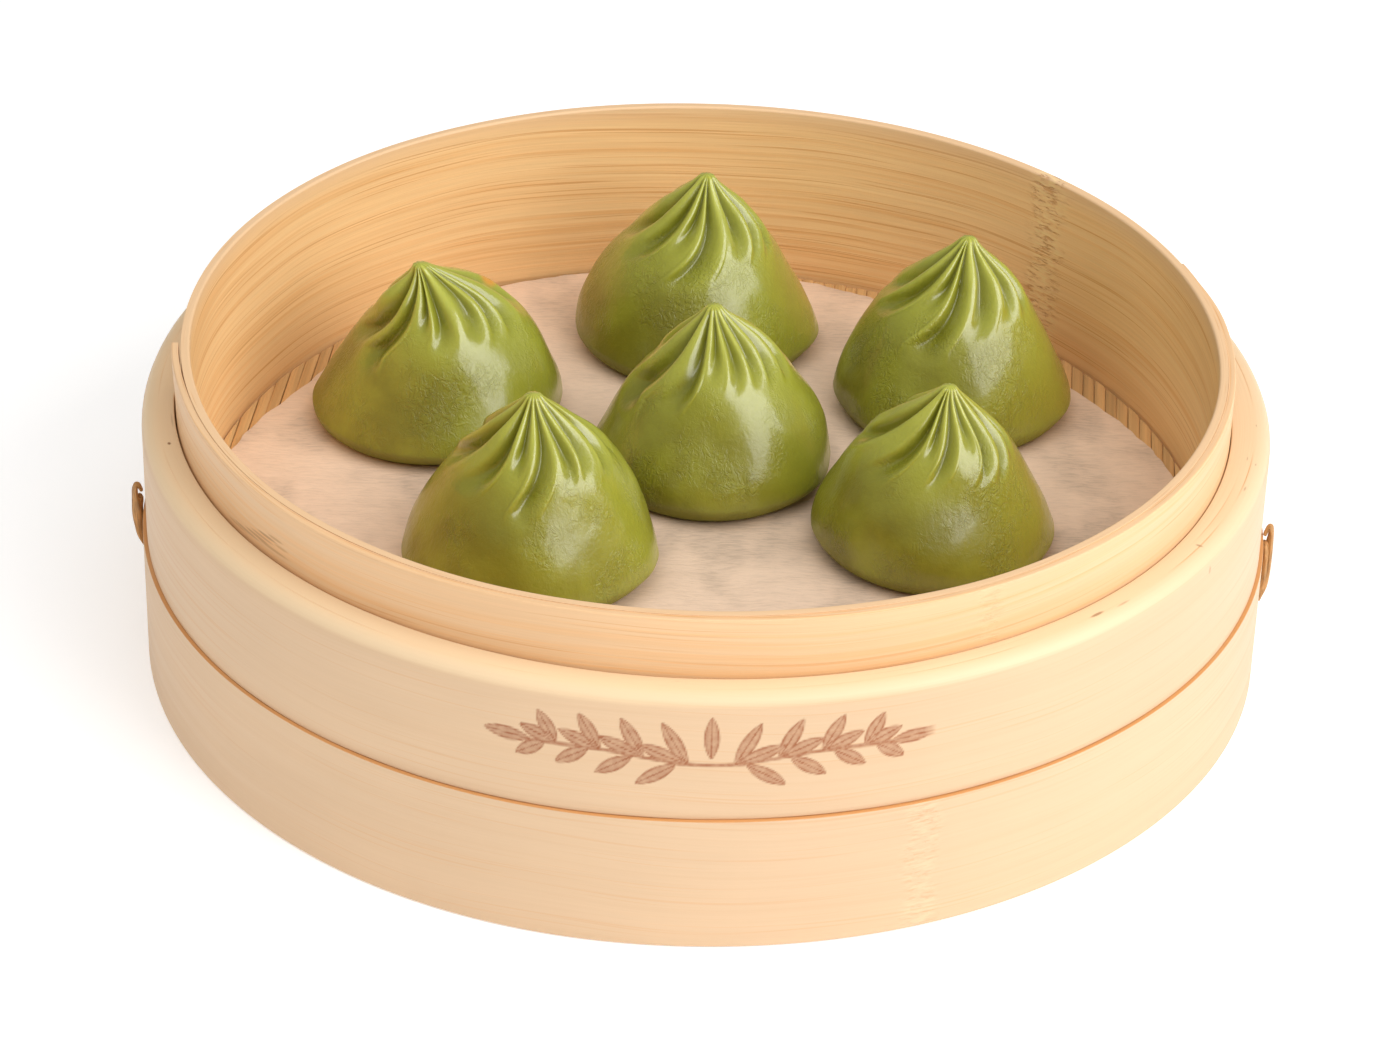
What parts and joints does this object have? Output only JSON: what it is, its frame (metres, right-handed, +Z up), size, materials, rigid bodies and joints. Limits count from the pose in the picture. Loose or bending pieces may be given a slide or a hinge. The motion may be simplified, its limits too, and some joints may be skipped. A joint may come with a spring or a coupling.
{
  "type": "soup dumplings in a bamboo steamer basket",
  "caption": "Pleated green soup dumplings on a liner in a round bamboo steamer basket with bent hoops, a slatted floor and cane ties",
  "frame": {"origin": "on the basket's axis, at the level that it stands on", "axes": "+Z up, -Y the front, +X right seen from the front"},
  "size_m": [0.2175, 0.2134, 0.0632],
  "materials": {
    "bamboo_outside": "smooth split bamboo, satin, fine grain along the hoop",
    "bamboo_inside": "bamboo, inner side, warmer and less shiny",
    "bamboo_floor": "split bamboo slats, matt",
    "cane": "twisted cane strand, matt",
    "liner_paper": "thin damp steamer paper, matt",
    "dough": "steamed green dough, wet, slightly translucent"
  },
  "bodies": {
    "root": {"inner_hoop": "bamboo_inside", "inner_hoop_lap": "bamboo_outside", "upper_hoop": "bamboo_outside", "lower_hoop": "bamboo_outside", "tie_left": "cane", "tie_right": "cane", "liner": "liner_paper", "slat_01": "bamboo_floor", "slat_02": "bamboo_floor", "slat_03": "bamboo_floor", "slat_04": "bamboo_floor", "slat_05": "bamboo_floor", "slat_06": "bamboo_floor", "slat_07": "bamboo_floor", "slat_08": "bamboo_floor", "slat_09": "bamboo_floor", "slat_10": "bamboo_floor", "slat_11": "bamboo_floor", "slat_12": "bamboo_floor", "slat_13": "bamboo_floor", "slat_14": "bamboo_floor", "slat_15": "bamboo_floor", "slat_16": "bamboo_floor", "slat_17": "bamboo_floor", "slat_18": "bamboo_floor", "slat_19": "bamboo_floor", "slat_20": "bamboo_floor", "slat_21": "bamboo_floor", "slat_22": "bamboo_floor", "slat_23": "bamboo_floor", "slat_24": "bamboo_floor", "slat_25": "bamboo_floor", "slat_26": "bamboo_floor", "slat_27": "bamboo_floor", "slat_28": "bamboo_floor", "slat_29": "bamboo_floor", "slat_30": "bamboo_floor", "slat_31": "bamboo_floor", "slat_32": "bamboo_floor", "slat_33": "bamboo_floor", "slat_34": "bamboo_floor", "slat_35": "bamboo_floor", "slat_36": "bamboo_floor", "slat_37": "bamboo_floor", "slat_38": "bamboo_floor", "slat_39": "bamboo_floor", "slat_40": "bamboo_floor", "slat_41": "bamboo_floor", "slat_42": "bamboo_floor", "batten_1": "bamboo_floor", "batten_2": "bamboo_floor", "batten_3": "bamboo_floor", "dumpling_1": "dough", "dumpling_2": "dough", "dumpling_3": "dough", "dumpling_4": "dough", "dumpling_5": "dough", "dumpling_6": "dough"}
  },
  "joints": []
}
